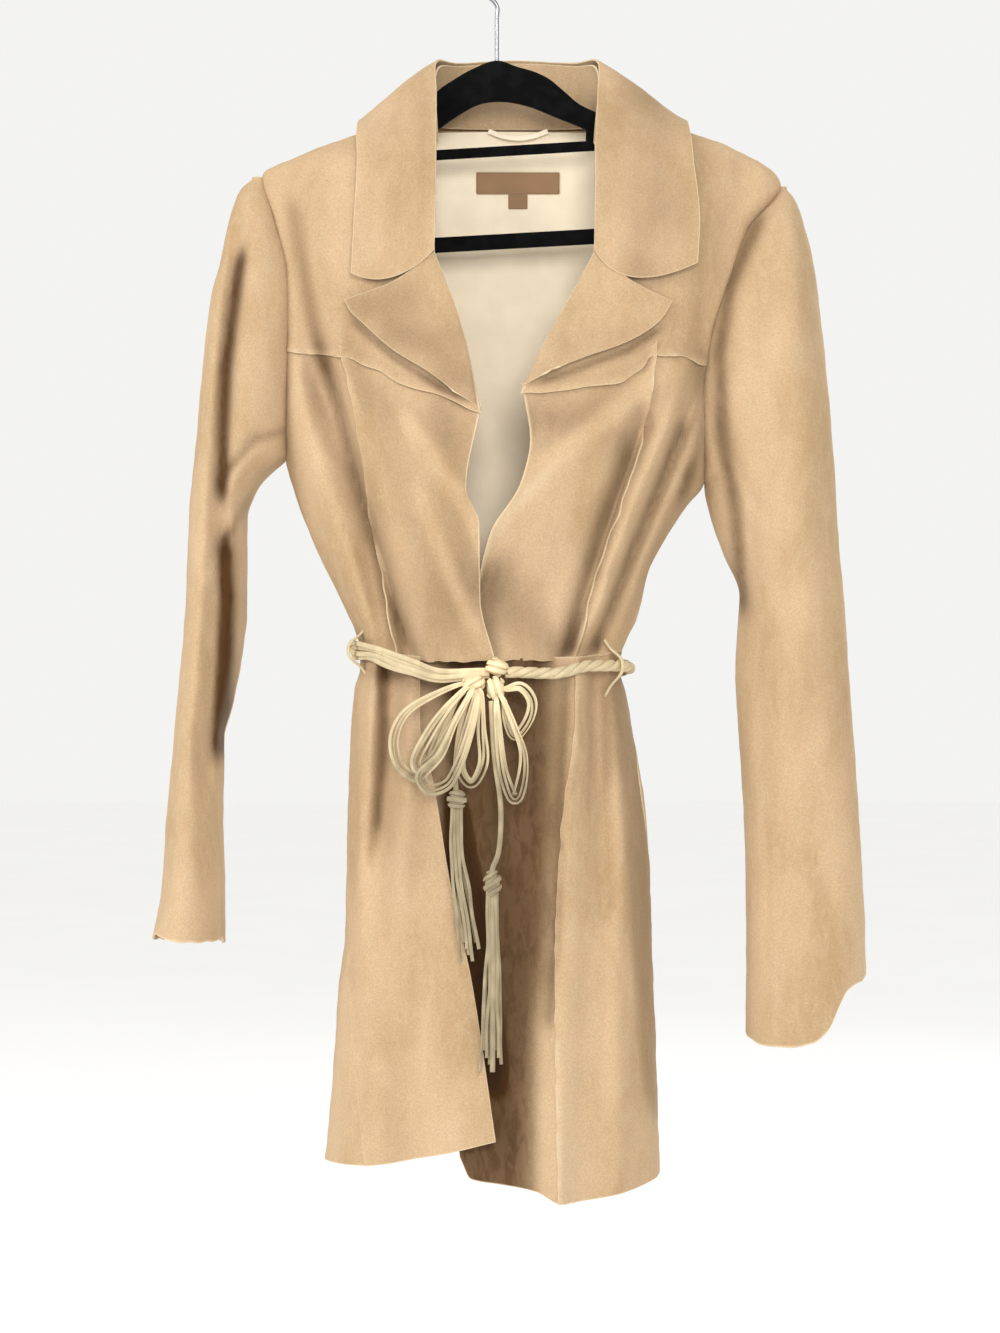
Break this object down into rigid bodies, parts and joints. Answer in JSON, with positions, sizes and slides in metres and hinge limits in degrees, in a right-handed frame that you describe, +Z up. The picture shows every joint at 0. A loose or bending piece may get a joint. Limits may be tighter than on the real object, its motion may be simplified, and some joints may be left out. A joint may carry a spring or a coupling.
{
  "type": "suede jacket on a hanger",
  "caption": "Belted suede jacket with notched collar, lapels, princess seams, bell sleeves and a knotted lace belt with tassels, hung on a flocked hanger.",
  "frame": {"origin": "inner top of the hanger's hook, where the rod touches it", "axes": "+Z up, the jacket's front faces -Y, +X towards the wearer's left"},
  "size_m": [0.5659, 0.1637, 0.9992],
  "materials": {
    "suede": "brushed nap, matt",
    "lace": "cut suede lace, matt",
    "lining": "woven, slight sheen",
    "label": "woven, bare",
    "flock": "flocked, very matt",
    "hook": "satin"
  },
  "bodies": {
    "root": {"yoke_front_r": "suede", "front_side_r": "suede", "front_center_r": "suede", "yoke_front_l": "suede", "front_side_l": "suede", "front_center_l": "suede", "back_bodice_r": "suede", "back_bodice_l": "suede", "back_skirt": "suede", "skirt_front_r": "suede", "skirt_front_l": "suede", "skirt_side_l": "suede", "sleeve_r": "suede", "sleeve_l": "suede", "collar_fall": "suede", "collar_stand": "suede", "lapel_r": "suede", "lapel_l": "suede", "belt_front_r": "lace", "belt_front_l": "lace", "belt_back": "lace", "belt_loop_r": "lace", "belt_loop_l": "lace", "knot_top": "lace", "knot_left": "lace", "knot_right": "lace", "bow_loop_1": "lace", "bow_loop_2": "lace", "bow_loop_3": "lace", "bow_loop_4": "lace", "bow_loop_5": "lace", "bow_loop_6": "lace", "lace_tail_r": "lace", "lace_tail_l": "lace", "tassel_r": "lace", "tassel_l": "lace", "lining_yoke": "lining", "lining_back": "lining", "hang_loop": "lining", "label": "label", "size_tag": "label", "hanger_frame": "flock", "hanger_tie_bar": "flock", "hanger_trouser_bar": "flock", "hanger_hook": "hook"}
  },
  "joints": []
}
